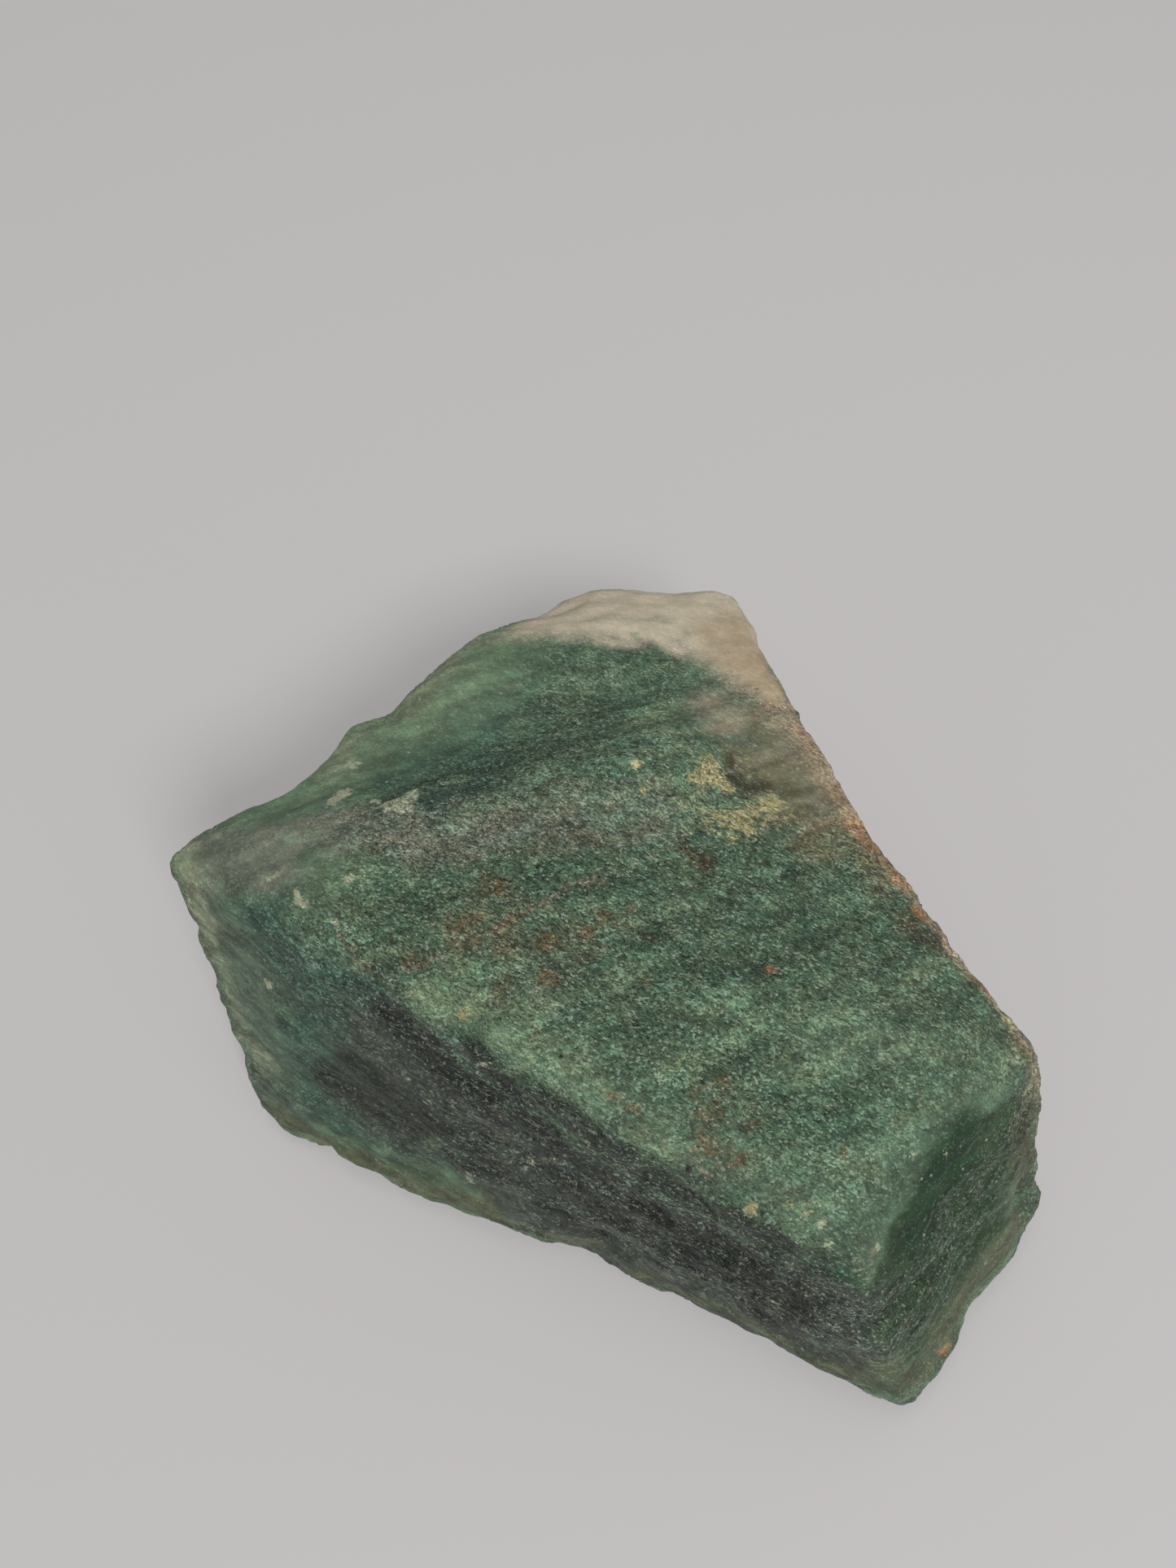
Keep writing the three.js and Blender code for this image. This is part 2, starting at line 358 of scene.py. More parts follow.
# each stroke: radius in mm, strength, and the spots it runs through
strokes = {
    "dusk": [
        (2.0, 0.5, [(885, 1195), (915, 1198)]),
        (2.0, 0.5, [(745, 1148), (765, 1150)]),
        (2.2, 0.4, [(900, 1048), (925, 1052)]),
        (2.0, 0.4, [(1040, 1200), (1060, 1198)]),
        (1.6, 0.5, [(1135, 1352), (1160, 1346)]),
        (1.6, 0.6, [(842, 1350), (860, 1346)]),
        (2.0, 0.7, [(945, 1400), (1000, 1404)]),
        (2.0, 0.6, [(1085, 1350), (1115, 1348)]),
        (4.5, 0.55, [(860, 1070), (930, 1060), (990, 1065), (1040, 1075)]),
        (4.6, 0.6, [(780, 1150), (860, 1160), (930, 1145), (1000, 1140), (1045, 1155)]),
        (4.0, 0.6, [(690, 1075), (760, 1090), (830, 1085)]),
        (2.4, 0.5, [(490, 1095), (508, 1145)]),
        (3.4, 0.9, [(615, 1048), (660, 1055), (710, 1048)]),
        (1.6, 0.8, [(880, 1208), (940, 1200), (990, 1205)]),
        (1.5, 0.7, [(1060, 1195), (1105, 1195)]),
        (1.4, 0.7, [(920, 1240), (955, 1228)]),
        (1.8, 0.6, [(740, 1265), (790, 1275), (835, 1270)]),
        (1.8, 0.8, [(870, 1312), (920, 1308), (965, 1302)]),
        (2.0, 0.8, [(950, 1345), (1000, 1335), (1045, 1345)]),
        (1.8, 0.7, [(975, 1372), (1030, 1378), (1090, 1388)]),
        (1.4, 0.6, [(1090, 1252), (1145, 1256), (1180, 1250)]),
        (1.5, 0.6, [(1090, 1318), (1140, 1325), (1170, 1310)]),
        (2.0, 0.5, [(560, 1060), (600, 1080)]),
    ],
    # light green tone, partly painted light: the glow of the thin back-left rim and the bevels, where
    # light passes through the edges
    "mintAndGlow": [
        (4.5, 0.7, [(-40, 0, 13), (-34, 8, 8)]),
        (3.4, 0.7, [(42, -14, 14), (46, -21, 8)]),
        (2.4, 0.9, [(590, 1240), (620, 1258)]),
        (2.0, 0.8, [(645, 1195), (655, 1212)]),
        (1.6, 0.6, [(745, 1245), (765, 1255)]),
        (1.8, 0.6, [(940, 1300), (965, 1303)]),
        (2.0, 0.4, [(1040, 1140), (1065, 1155)]),
        (2.0, 0.6, [(845, 895), (860, 905)]),
        (1.8, 0.4, [(695, 905), (720, 900)]),
        (2.0, 0.5, [(985, 1452), (1012, 1448)]),
        (1.8, 0.5, [(1190, 1342), (1225, 1322), (1248, 1306)]),
        (3.5, 0.7, [(-32, 16, 24), (-22, 26, 22), (-15, 34, 22)]),
        (3.8, 1.2, [(585, 796), (560, 820), (528, 850), (492, 884)]),
        (3.0, 0.8, [(480, 895), (455, 915), (430, 940)]),
        (2.6, 0.9, [(800, 882), (820, 905), (845, 930)]),
        (1.8, 0.5, [(650, 950), (690, 962), (720, 965)]),
        (2.0, 0.8, [(790, 960), (820, 972), (845, 982)]),
        (2.4, 0.7, [(300, 1000), (345, 985), (395, 962)]),
        (2.0, 0.65, [(825, 1315), (875, 1292), (920, 1272), (960, 1250), (1000, 1243)]),
        (2.4, 0.5, [(1015, 1240), (1055, 1250), (1070, 1275), (1045, 1290)]),
        (1.6, 0.6, [(1080, 1230), (1110, 1212), (1140, 1190), (1165, 1178)]),
        (1.4, 0.7, [(870, 1240), (912, 1224)]),
        (2.2, 0.5, [(1100, 1292), (1150, 1282), (1195, 1280)]),
        (1.8, 0.6, [(990, 1322), (1050, 1312), (1085, 1308)]),
        (2.2, 0.55, [(1045, 1435), (1080, 1410), (1112, 1385), (1150, 1355), (1190, 1336), (1235, 1308)]),
        (3.0, 0.35, [(1000, 1468), (1040, 1455), (1065, 1430)]),
        (2.4, 0.35, [(950, 1470), (1000, 1495), (1035, 1525)]),
        (2.0, 0.5, [(930, 1420), (980, 1430)]),
        (2.2, 0.8, [(520, 1225), (575, 1250), (630, 1280), (690, 1310), (735, 1345)]),
        (3.0, 0.6, [(560, 1195), (600, 1200), (570, 1220)]),
        (2.0, 0.7, [(650, 1300), (720, 1330)]),
        (2.2, 0.6, [(780, 1400), (830, 1410), (800, 1380)]),
        (3.4, 0.7, [(400, 1098), (440, 1080), (455, 1055)]),
        (2.0, 0.4, [(430, 1130), (450, 1160)]),
        (1.6, 0.5, [(1020, 1205), (1060, 1215)]),
    ],
    # dark teal tone, partly painted shade in the trough behind the crest and along the top of the front
    # face
    "deep": [
        (4.4, 0.6, [(525, 945), (565, 932), (600, 935), (590, 960)]),
        (3.0, 0.45, [(640, 850), (665, 870), (680, 895)]),
        (3.2, 0.35, [(712, 888), (738, 900), (750, 912), (728, 928)]),
        (2.0, 0.6, [(470, 960), (520, 968)]),
        (2.0, 0.5, [(750, 868), (790, 858)]),
        (1.6, 0.9, [(510, 985), (555, 985), (590, 965)]),
        (1.6, 0.5, [(748, 945), (770, 950)]),
        (2.4, 0.6, [(590, 905), (615, 890)]),
        (2.0, 0.5, [(800, 835), (850, 855)]),
        (1.0, 0.9, [(395, 1185), (450, 1213), (472, 1225)]),
        (1.2, 0.5, [(545, 1268), (590, 1292), (612, 1312)]),
        (1.2, 0.5, [(635, 1345), (680, 1372), (720, 1400)]),
        (1.2, 0.5, [(780, 1430), (820, 1450), (860, 1480)]),
        (1.2, 0.6, [(950, 1535), (1000, 1555), (1045, 1572)]),
        (3.0, 0.4, [(450, 1402), (500, 1416), (560, 1440)]),
        (1.6, 0.8, [(415, 1208), (440, 1222), (455, 1230)]),
        (1.4, 0.7, [(575, 1288), (600, 1302)]),
        (4.0, 0.8, [(320, 1120), (350, 1180), (390, 1230), (380, 1300)]),
        (3.0, 0.7, [(360, 1260), (380, 1340), (420, 1380)]),
    ],
    "pine": [
        (1.5, 0.6, [(1015, 1560), (1050, 1572)]),
        (2.2, 0.8, [(1125, 1490), (1140, 1450), (1160, 1415), (1185, 1385)]),
        (3.2, 1.0, [(1130, 1505), (1160, 1450), (1180, 1405)]),
        (2.2, 0.35, [(1075, 1505), (1100, 1465), (1135, 1425), (1170, 1385)]),
        (1.8, 0.5, [(1205, 1450), (1228, 1405)]),
        (1.8, 0.7, [(1190, 1530), (1215, 1480)]),
        (1.8, 0.5, [(1095, 1575), (1150, 1565)]),
    ],
    # charcoal tone; on the front face it is partly painted shade of that face, on the back faces only a
    # tone
    "coalAndShade": [
        (4.0, 0.7, [(-26, 20, 18), (-18, 28, 15)]),
        (3.2, 0.7, [(29, 6, 6), (34, -2, 5)]),
        (2.4, 0.5, [(490, 1345), (540, 1365)]),
        (2.4, 0.5, [(535, 1395), (575, 1405)]),
        (2.0, 0.6, [(835, 1500), (860, 1512)]),
        (2.4, 0.7, [(690, 1500), (740, 1512)]),
        (2.4, 0.6, [(560, 1425), (600, 1445)]),
        (2.6, 0.9, [(478, 1246), (500, 1262), (524, 1284)]),
        (2.6, 0.9, [(515, 1290), (560, 1318), (600, 1345)]),
        (2.2, 0.8, [(580, 1295), (612, 1322), (640, 1350)]),
        (2.6, 0.7, [(432, 1305), (455, 1322), (475, 1345)]),
        (2.4, 0.8, [(640, 1375), (690, 1412), (740, 1445)]),
        (3.2, 0.9, [(700, 1462), (740, 1485), (775, 1505)]),
        (2.8, 0.9, [(800, 1490), (860, 1520), (930, 1558)]),
        (3.6, 1.0, [(850, 1545), (910, 1570), (960, 1600)]),
        (3.5, 0.8, [(410, 1330), (450, 1360), (500, 1380)]),
        (3.0, 0.7, [(520, 1370), (580, 1410)]),
        (1.8, 0.7, [(650, 1460), (680, 1490)]),
        (2.0, 0.7, [(930, 1610), (975, 1632)]),
        (1.6, 0.7, [(975, 1575), (1010, 1605)]),
    ],
    # dark grey-green tone; on the front face it is partly painted shade of that face, on the back faces
    # only a tone
    "smokeAndShade": [
        (7.0, 0.7, [(-37, 4, 10), (-28, 14, 12)]),
        (6.0, 0.6, [(-20, 24, 8), (-14, 30, 12)]),
        (6.0, 0.9, [(420, 1290), (480, 1330), (560, 1370)]),
        (6.0, 0.9, [(560, 1370), (640, 1420), (720, 1470)]),
        (6.0, 0.9, [(720, 1470), (820, 1520), (920, 1570), (1000, 1610)]),
        (5.0, 1.0, [(640, 1470), (720, 1510), (780, 1545)]),
        (5.0, 1.0, [(780, 1555), (860, 1590), (940, 1625), (1010, 1655)]),
        (3.0, 0.5, [(410, 1370), (480, 1400), (560, 1430), (620, 1455)]),
        (2.0, 0.8, [(440, 1250), (470, 1280)]),
        (2.0, 0.8, [(530, 1322), (580, 1370), (625, 1405), (645, 1435)]),
    ],
    # painted sheen: a grey band that stands for the light reflected along the crest and the left corner
    "paintedSheen": [
        (2.4, 1.0, [(245, 1045), (300, 1042), (350, 1030), (400, 1018), (450, 1012), (500, 1015),
                    (550, 1030)]),
        (3.2, 0.8, [(510, 1030), (560, 1025), (610, 1015), (660, 1005), (740, 1000), (800, 1000)]),
        (2.8, 0.8, [(255, 1060), (310, 1062), (340, 1070)]),
        (1.8, 0.7, [(240, 1075), (245, 1100), (258, 1130)]),
    ],
    # pale bluish-grey patches; along the crest they are painted sheen, standing for the light reflected
    # there
    "frostAndSheen": [
        (2.2, 0.7, [(740, 996), (780, 998), (812, 1004)]),
        (2.0, 0.8, [(560, 1002), (600, 988), (660, 985), (720, 988), (780, 985)]),
        (1.6, 0.9, [(735, 1002), (775, 1010), (760, 1022)]),
        (1.0, 0.7, [(655, 958), (680, 955)]),
        (1.3, 0.6, [(345, 1032), (390, 1022)]),
        (0.7, 1.0, [(640, 1190), (660, 1222), (685, 1246)]),
        (1.4, 0.6, [(815, 1106), (850, 1112)]),
        (1.0, 0.7, [(825, 1140), (845, 1146)]),
        (0.8, 0.7, [(925, 1100), (940, 1112)]),
        (1.3, 0.6, [(1035, 1165), (1055, 1182)]),
        (0.8, 0.7, [(720, 1108), (732, 1115)]),
        (1.0, 0.6, [(880, 1150), (870, 1160)]),
        (1.2, 0.6, [(1110, 1235), (1130, 1240)]),
        (1.0, 0.5, [(1190, 1275), (1200, 1285)]),
        (1.6, 0.5, [(540, 1050), (560, 1065)]),
        (0.6, 0.9, [(625, 845), (635, 842)]),
    ],
    # pale beige-green rims and fringe, partly painted light: the glow of the thin translucent rims
    "strawAndGlow": [
        (2.4, 0.7, [(-28, 20, 27), (-20, 29, 26), (-12, 37, 25)]),
        (1.2, 0.9, [(578, 792), (600, 787), (640, 780), (668, 776)]),
        (1.7, 0.8, [(505, 862), (530, 834), (556, 804)]),
        (2.4, 0.8, [(436, 902), (424, 920), (410, 942)]),
        (2.2, 0.6, [(500, 872), (530, 848), (556, 820)]),
        (2.2, 0.9, [(225, 1052), (234, 1085), (242, 1115), (254, 1150)]),
        (1.6, 0.7, [(268, 1180), (285, 1225), (300, 1270), (322, 1310)]),
        (2.2, 0.7, [(310, 1285), (325, 1300)]),
    ],
    # a dark line along the top of the front face, partly painted shade of that face
    "edge": [
        (1.7, 1.0, [(668, 1354), (700, 1374), (745, 1410), (800, 1442), (850, 1470), (905, 1502),
                    (960, 1530)]),
        (1.5, 0.8, [(790, 1448), (830, 1462)]),
        (1.5, 0.5, [(960, 1530), (1005, 1550)]),
    ],
    # olive band at the foot, partly painted light: the glow through the thin foot edge
    "footingAndGlow": [
        (2.4, 0.3, [(1208, 1395), (1212, 1450)]),
        (2.0, 0.8, [(335, 1365), (360, 1382), (400, 1402)]),
        (1.8, 1.0, [(400, 1405), (450, 1428), (500, 1452), (560, 1472), (600, 1488)]),
        (1.0, 0.8, [(610, 1500), (650, 1510), (700, 1524), (735, 1528)]),
        (1.0, 0.8, [(775, 1565), (820, 1580), (860, 1598), (930, 1628)]),
        (1.4, 0.7, [(940, 1635), (1000, 1668), (1040, 1690), (1095, 1708)]),
        (3.0, 0.7, [(1080, 1680), (1110, 1700), (1140, 1675)]),
        (2.6, 0.9, [(1150, 1650), (1180, 1600), (1215, 1555)]),
        (2.6, 0.9, [(1215, 1550), (1245, 1510), (1258, 1480)]),
        (2.6, 0.3, [(1250, 1380), (1255, 1420), (1258, 1470)]),
    ],
    "silk": [
        (6.0, 1.0, [(1085, 1480), (1120, 1560), (1150, 1600)]),
        (5.0, 1.0, [(1150, 1430), (1190, 1490), (1195, 1540)]),
        (4.0, 1.0, [(1205, 1385), (1240, 1420)]),
        (3.0, 0.8, [(1080, 1560), (1090, 1620)]),
    ],
    "mist": [
        (5.0, 1.0, [(232, 1080), (242, 1120), (258, 1170), (275, 1220)]),
        (5.0, 1.0, [(285, 1180), (300, 1240), (318, 1300), (335, 1340)]),
        (3.5, 0.7, [(350, 1320), (370, 1370)]),
        (2.0, 0.6, [(345, 1215), (380, 1250)]),
    ],
    "quartz": [
        (0.8, 0.6, [(735, 787), (760, 790), (785, 793)]),
        (2.4, 1.0, [(672, 752), (705, 738), (745, 732), (800, 738), (850, 738), (892, 738)]),
        (4.0, 1.0, [(4, 44, 25), (12, 45, 24), (20, 44, 24)]),
        (5.0, 1.0, [(0, 41, 18), (8, 41, 16), (16, 39, 14)]),
        (5.0, 1.0, [(21, 36, 22), (23, 28, 16)]),
        (3.0, 0.8, [(4, 37, 9), (10, 36, 6)]),
        (2.6, 1.0, [(655, 768), (690, 758), (740, 750), (800, 750), (860, 752), (890, 756)]),
        (1.8, 1.0, [(690, 770), (740, 768), (790, 772), (830, 778)]),
        (3.0, 1.0, [(850, 765), (885, 775), (905, 795)]),
        (2.6, 1.0, [(860, 790), (890, 805), (920, 825)]),
        (1.6, 1.0, [(905, 820), (930, 835), (948, 850)]),
        (1.0, 1.0, [(810, 785), (822, 792), (838, 800)]),
        (1.2, 0.9, [(762, 776), (770, 780)]),
        (3.0, 1.0, [(905, 745), (918, 765), (924, 790)]),
    ],
    "tan": [
        (3.0, 0.9, [(23, 38, 26), (27, 24, 27), (33, 10, 27), (40, -3, 26), (47, -13, 24)]),
        (5.0, 0.8, [(22, 34, 14), (26, 24, 20), (24, 24, 12)]),
        (4.0, 0.6, [(36, 4, 20), (42, -8, 16)]),
        (2.2, 1.0, [(905, 765), (915, 795), (935, 830), (955, 855)]),
        (1.6, 0.8, [(870, 775), (890, 800), (905, 820)]),
        (1.8, 0.7, [(885, 800), (905, 812), (925, 830)]),
        (1.6, 1.0, [(960, 860), (982, 890), (1002, 925), (1022, 962)]),
        (1.4, 1.0, [(1020, 958), (1035, 982), (1050, 1008), (1078, 1042)]),
        (1.2, 0.9, [(1078, 1042), (1104, 1078), (1130, 1112)]),
        (1.0, 1.0, [(1120, 1098), (1140, 1126), (1160, 1150), (1185, 1180)]),
        (0.9, 0.8, [(1185, 1180), (1215, 1218), (1240, 1248), (1262, 1285)]),
        (1.2, 0.6, [(1262, 1285), (1275, 1320), (1276, 1350)]),
    ],
    "umber": [
        (3.0, 0.25, [(1030, 1640), (1060, 1655), (1080, 1640), (1085, 1610)]),
        (2.0, 0.4, [(925, 800), (942, 832)]),
        (9.0, 0.9, [(28, 24, 18), (34, 10, 16), (42, -6, 15), (48, -16, 14)]),
        (7.0, 0.8, [(28, 16, 6), (38, 0, 6), (46, -14, 6)]),
        (4.0, 0.6, [(-10, 34, 20), (-6, 38, 14)]),
        (3.6, 0.9, [(930, 890), (960, 900), (950, 940)]),
        (3.6, 1.0, [(930, 945), (970, 945), (990, 970)]),
        (3.4, 1.0, [(980, 990), (1030, 1010), (1010, 1030)]),
        (2.6, 0.8, [(1040, 1035), (1070, 1060), (1085, 1080)]),
        (1.6, 0.8, [(1245, 1270), (1262, 1300), (1270, 1335)]),
        (1.5, 0.4, [(1250, 1370), (1262, 1400), (1262, 1450), (1258, 1480)]),
        (4.0, 0.5, [(600, 1130), (660, 1160), (720, 1150)]),
        (3.0, 0.5, [(560, 1140), (610, 1160), (590, 1110)]),
        (3.0, 0.45, [(620, 1040), (700, 1045), (760, 1030)]),
        (1.6, 0.5, [(855, 1340), (890, 1335), (860, 1385)]),
    ],
    "bark": [
        (3.5, 0.8, [(29, 7, 10), (34, 1, 14)]),
        (3.0, 0.7, [(43, -13, 20), (45, -17, 14)]),
        (2.5, 0.7, [(25, 15, 8), (25, 16, 12)]),
        (1.4, 0.7, [(902, 958), (918, 970), (936, 966)]),
        (0.8, 0.7, [(896, 930), (898, 945)]),
        (1.8, 0.7, [(1110, 1130), (1130, 1148), (1160, 1165)]),
        (2.4, 0.7, [(1255, 1380), (1262, 1420), (1260, 1455)]),
        (1.0, 0.6, [(1165, 1162), (1185, 1180)]),
        (1.2, 0.9, [(845, 1045), (858, 1058), (868, 1062)]),
        (1.2, 0.6, [(700, 1020), (715, 1032)]),
        (0.8, 0.8, [(790, 1148), (798, 1152)]),
    ],
    "dust": [
        (3.4, 0.7, [(-30, 12, 9), (-22, 20, 6)]),
        (3.0, 0.7, [(35, -2, 9), (40, -10, 6)]),
        (2.8, 1.0, [(872, 862), (892, 885)]),
        (2.8, 0.5, [(880, 870), (920, 900), (940, 925)]),
        (2.4, 0.8, [(915, 848), (950, 880), (970, 910)]),
        (2.6, 0.6, [(985, 935), (1005, 965), (1010, 990)]),
    ],
    "iron": [
        (3.5, 0.9, [(24, 20, 24), (28, 11, 20)]),
        (3.0, 0.8, [(37, -5, 24), (41, -11, 18)]),
        (2.4, 0.8, [(33, 2, 12), (36, -3, 8)]),
        (2.0, 0.8, [(20, 32, 22), (21, 24, 14)]),
        (1.3, 1.0, [(1048, 1012), (1060, 1024), (1076, 1042)]),
        (1.0, 0.9, [(1085, 1054), (1100, 1075), (1118, 1096)]),
        (1.6, 0.5, [(1020, 1010), (1045, 1025)]),
        (0.9, 0.8, [(1134, 1120), (1150, 1140), (1170, 1164)]),
        (0.8, 0.6, [(1200, 1200), (1220, 1226)]),
        (0.9, 0.7, [(905, 800), (910, 810)]),
        (0.8, 1.0, [(1125, 1118), (1138, 1130)]),
        (0.5, 1.0, [(942, 1192), (950, 1192)]),
        (0.8, 1.0, [(1158, 1660), (1164, 1656)]),
        (0.7, 0.7, [(745, 1342), (758, 1350)]),
        (0.6, 0.6, [(775, 1360), (785, 1364)]),
    ],
    # near-black spots, painted shade inside small pits
    "pitShade": [
        (0.35, 1.0, [(780, 1257), (782, 1258)]),
        (0.3, 1.0, [(937, 1491), (938, 1491)]),
        (0.3, 1.0, [(846, 1436), (847, 1436)]),
        (0.3, 1.0, [(955, 1300), (956, 1300)]),
        (0.3, 0.7, [(928, 846), (930, 847)]),
        (0.3, 0.9, [(604, 1233), (605, 1233)]),
        (0.3, 0.9, [(688, 1298), (689, 1298)]),
        (0.3, 0.9, [(550, 1345), (551, 1345)]),
    ],
    "rust": [
        (1.3, 1.0, [(605, 1078), (618, 1092), (628, 1100)]),
        (1.5, 0.9, [(560, 1138), (585, 1140), (602, 1152)]),
        (0.9, 0.9, [(560, 1162), (600, 1150), (625, 1168)]),
        (0.8, 0.8, [(648, 1112), (640, 1122), (620, 1138)]),
        (1.0, 0.9, [(662, 1160), (672, 1152), (668, 1168)]),
        (1.2, 1.0, [(722, 1150), (734, 1162)]),
        (1.0, 0.9, [(742, 1125), (768, 1142)]),
        (1.2, 1.0, [(668, 1195), (680, 1205)]),
        (1.1, 0.8, [(628, 1208), (612, 1225), (632, 1228)]),
        (0.9, 0.8, [(648, 1258), (655, 1268)]),
        (1.0, 0.8, [(495, 1176), (515, 1182)]),
        (0.8, 0.9, [(780, 1115), (775, 1120)]),
        (1.1, 0.7, [(865, 1325), (855, 1345)]),
        (1.0, 0.8, [(888, 1332), (898, 1336)]),
        (1.0, 0.9, [(865, 1375), (880, 1362)]),
        (1.4, 1.0, [(870, 1412), (885, 1418), (908, 1424)]),
        (0.9, 0.9, [(880, 1432), (895, 1430)]),
        (0.8, 0.8, [(915, 1352), (925, 1358)]),
        (0.8, 0.8, [(850, 1390), (862, 1398)]),
        (0.9, 0.7, [(920, 1385), (930, 1380)]),
        (0.8, 0.7, [(1035, 1412), (1040, 1422)]),
        (0.8, 0.8, [(795, 1205), (790, 1200)]),
    ],
    "vein": [
        (1.1, 0.9, [(-42, 3, 22), (-34, 9, 15), (-25, 16, 10), (-18, 22, 6)]),
        (1.1, 0.9, [(27, 11, 16), (34, -1, 11), (42, -15, 7)]),
        (0.45, 0.9, [(480, 1198), (520, 1185), (560, 1165), (600, 1150)]),
        (0.5, 1.0, [(600, 1150), (640, 1122), (680, 1100), (720, 1085), (750, 1072)]),
        (0.5, 0.9, [(416, 1145), (430, 1165), (448, 1188), (455, 1190)]),
        (0.6, 0.7, [(480, 1205), (495, 1215), (515, 1228)]),
        (0.8, 0.7, [(775, 1060), (800, 1048), (820, 1045)]),
        (0.7, 0.7, [(760, 1382), (800, 1400), (840, 1425), (880, 1450)]),
        (0.5, 0.8, [(1050, 1560), (1065, 1545), (1078, 1535)]),
        (0.8, 0.6, [(700, 1022), (735, 1030)]),
    ],
    "ochre": [
        (1.2, 1.0, [(876, 938), (866, 948), (862, 956)]),
        (0.8, 1.0, [(868, 956), (884, 958), (894, 968)]),
        (0.7, 1.0, [(850, 956), (862, 958)]),
        (1.5, 0.8, [(882, 1004), (902, 1002), (918, 1006)]),
        (1.3, 0.8, [(912, 1000), (935, 992), (952, 985)]),
        (0.9, 1.0, [(905, 1010), (920, 1020)]),
        (3.2, 0.55, [(865, 1000), (900, 1015), (950, 1000)]),
        (0.5, 0.9, [(778, 940), (785, 938)]),
        (0.5, 0.8, [(788, 972), (794, 970)]),
        (0.6, 1.0, [(1238, 1253), (1244, 1260)]),
        (0.6, 1.0, [(925, 1484), (922, 1488)]),
        (1.3, 0.5, [(980, 1480), (990, 1490)]),
        (0.9, 0.6, [(565, 1245), (575, 1250)]),
        (1.6, 0.4, [(850, 1025), (830, 1015)]),
    ],
    "chalk": [
        (0.45, 0.9, [(778, 778), (782, 780)]),
        (0.9, 1.0, [(410, 985), (422, 975)]),
        (1.1, 1.0, [(480, 986), (494, 990)]),
        (0.8, 1.0, [(492, 990), (502, 984), (506, 972)]),
        (0.5, 0.8, [(460, 984), (476, 986)]),
        (0.7, 0.9, [(430, 938), (434, 940)]),
        (0.5, 1.0, [(366, 1106), (374, 1110)]),
        (0.35, 0.9, [(364, 1094), (366, 1102)]),
        (0.4, 1.0, [(412, 1134), (414, 1138)]),
        (0.55, 0.9, [(428, 1080), (432, 1076)]),
        (0.3, 0.8, [(330, 1080), (340, 1075)]),
        (0.5, 0.8, [(328, 1208), (332, 1210)]),
        (0.7, 0.6, [(524, 1355), (530, 1358)]),
        (0.7, 0.6, [(576, 1442), (577, 1452)]),
        (0.7, 0.5, [(648, 1425), (655, 1428)]),
        (0.5, 0.6, [(680, 1424), (684, 1430)]),
        (0.5, 0.6, [(696, 1450), (706, 1450)]),
        (0.6, 0.5, [(722, 1405), (726, 1415)]),
        (0.7, 0.5, [(818, 1564), (826, 1568)]),
        (0.32, 0.9, [(1120, 1416), (1123, 1419)]),
        (0.36, 0.8, [(1078, 1530), (1081, 1534)]),
        (0.3, 0.8, [(1160, 1416), (1162, 1419)]),
        (0.5, 0.7, [(1005, 1505), (1012, 1500)]),
        (0.5, 0.7, [(1012, 1532), (1020, 1534)]),
        (0.5, 0.8, [(1246, 1303), (1250, 1306)]),
        (0.6, 0.7, [(985, 1018), (988, 1020)]),
        (0.7, 0.5, [(940, 1598), (955, 1602)]),
        (0.6, 0.5, [(590, 1310), (600, 1306)]),
    ],
    "calm": [
        (7.0, 0.7, [(-40, 0, 14), (-30, 12, 10), (-18, 26, 12)]),
        (7.0, 0.7, [(28, 9, 12), (36, -3, 12), (44, -17, 10)]),
        (5.0, 0.9, [(875, 865), (905, 890), (945, 925), (985, 975)]),
        (5.0, 0.4, [(640, 840), (720, 850), (800, 850)]),
        (5.0, 1.0, [(1100, 1520), (1130, 1475), (1165, 1420), (1205, 1385)]),
        (6.0, 1.0, [(4, 42, 20), (16, 42, 18), (24, 28, 18)]),
        (6.0, 1.2, [(330, 1000), (430, 940), (500, 900), (580, 850), (610, 805)]),
        (5.0, 0.8, [(440, 950), (500, 920), (570, 860), (600, 820)]),
        (6.0, 1.3, [(700, 755), (780, 750), (860, 755), (905, 790)]),
        (3.0, 1.0, [(905, 800), (940, 840)]),
        (6.0, 1.0, [(230, 1060), (300, 1050), (360, 1060)]),
        (7.0, 1.0, [(260, 1110), (300, 1200), (340, 1300)]),
        (6.0, 1.0, [(340, 1370), (420, 1400), (520, 1450), (600, 1480)]),
        (4.0, 0.8, [(700, 1520), (800, 1570), (950, 1640), (1080, 1700)]),
        (8.0, 0.8, [(1250, 1450), (1230, 1540), (1170, 1620), (1110, 1690)]),
        (7.0, 0.85, [(420, 1300), (500, 1360)]),
        (6.0, 0.5, [(880, 1440), (960, 1470), (1030, 1500), (1060, 1540)]),
        (4.0, 0.5, [(520, 1225), (600, 1265), (700, 1325), (800, 1390), (900, 1460)]),
        (5.0, 0.45, [(1000, 1280), (1080, 1290), (1160, 1290)]),
        (5.0, 0.45, [(1060, 1430), (1130, 1370), (1220, 1310)]),
        (5.0, 0.5, [(1100, 1480), (1150, 1420), (1190, 1380)]),
    ],
}


strokeReach = 2     # a stroke fades out this many radii from its line


def strokeDistance(places, line):
    nearest = np.full(len(places), np.inf)
    for start, end in zip(line[:-1], line[1:]):
        start = np.array(start)
        run = np.array(end) - start
        length = run @ run or 1.0                               # a stroke of one spot has no length
        share = np.clip((places - start) @ run / length, 0, 1)
        nearest = np.minimum(nearest, np.linalg.norm(places - start - share[:, None] * run, axis=1))
    return nearest / mm


